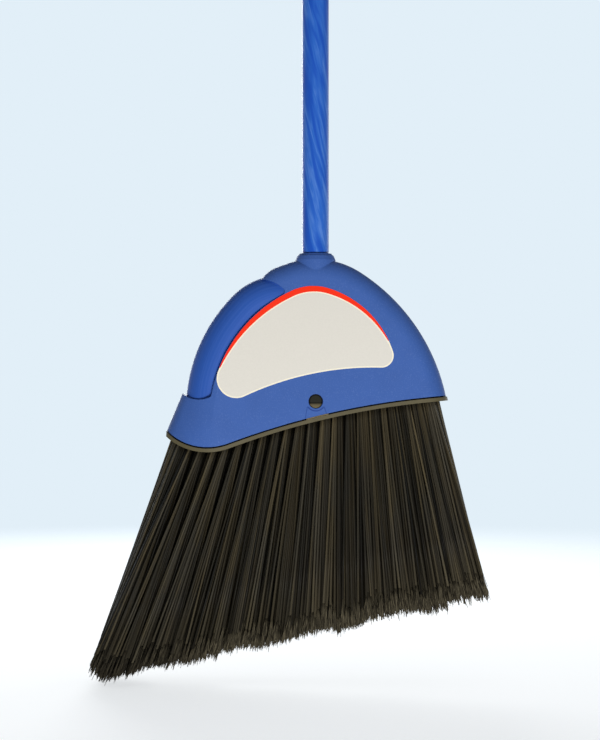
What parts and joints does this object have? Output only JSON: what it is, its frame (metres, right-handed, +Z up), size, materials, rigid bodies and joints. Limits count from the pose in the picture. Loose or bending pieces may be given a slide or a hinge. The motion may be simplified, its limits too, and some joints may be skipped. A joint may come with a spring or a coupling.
{
  "type": "angle broom",
  "caption": "Angle broom with a hollow moulded head, a snap-in block of flagged bristles cut at a slant, and a screw-in tube handle with a hanging loop.",
  "frame": {"origin": "on the handle's axis at the lower end of the handle tube, just above the head's collar", "axes": "+Z up along the handle, +X to the short end of the bristles, -Y to the front with the label"},
  "size_m": [0.3259, 0.0604, 1.5514],
  "materials": {
    "tube_steel": "thin rolled steel tube under the film",
    "handle_film": "smooth blue plastic film with faint paler slanting streaks",
    "tip_plastic": "dark moulded plastic screw tip",
    "hang_plastic": "blue moulded plastic",
    "cap_plastic": "blue moulded plastic with a fine satin texture, smoother on the grip strip",
    "label_print": "bare pale grey film label with a cream border and a red crescent edge",
    "block_plastic": "olive grey moulded plastic",
    "bristle_fibre": "black-brown plastic filaments with flagged tips"
  },
  "bodies": {
    "handle": {"handle_tube": "tube_steel", "handle_sleeve": "handle_film", "handle_tip": "tip_plastic", "hang_cap": "hang_plastic"},
    "head": {"head_cap": "cap_plastic", "front_label": "label_print", "bristle_block": "block_plastic", "bristle_row_1": "bristle_fibre", "bristle_row_2": "bristle_fibre", "bristle_row_3": "bristle_fibre", "bristle_row_4": "bristle_fibre", "bristle_row_5": "bristle_fibre", "bristle_row_6": "bristle_fibre", "bristle_row_7": "bristle_fibre"},
    "front_latch": {"front_latch": "block_plastic"},
    "rear_latch": {"rear_latch": "block_plastic"}
  },
  "joints": [
    {"name": "head_unscrew", "type": "hinge", "parent": "handle", "child": "head", "pos_m": [0, 0, 0], "axis": [0, 0, -1], "range_deg": [0, 1710]},
    {"name": "front_latch_press", "type": "hinge", "parent": "head", "child": "front_latch", "pos_m": [0, -0.01861, -0.13344], "axis": [-1, 0, 0], "range_deg": [0, 16], "stiffness_Nm_per_rad": 0.9},
    {"name": "rear_latch_press", "type": "hinge", "parent": "head", "child": "rear_latch", "pos_m": [0, 0.01861, -0.13344], "axis": [1, 0, 0], "range_deg": [0, 16], "stiffness_Nm_per_rad": 0.9}
  ]
}
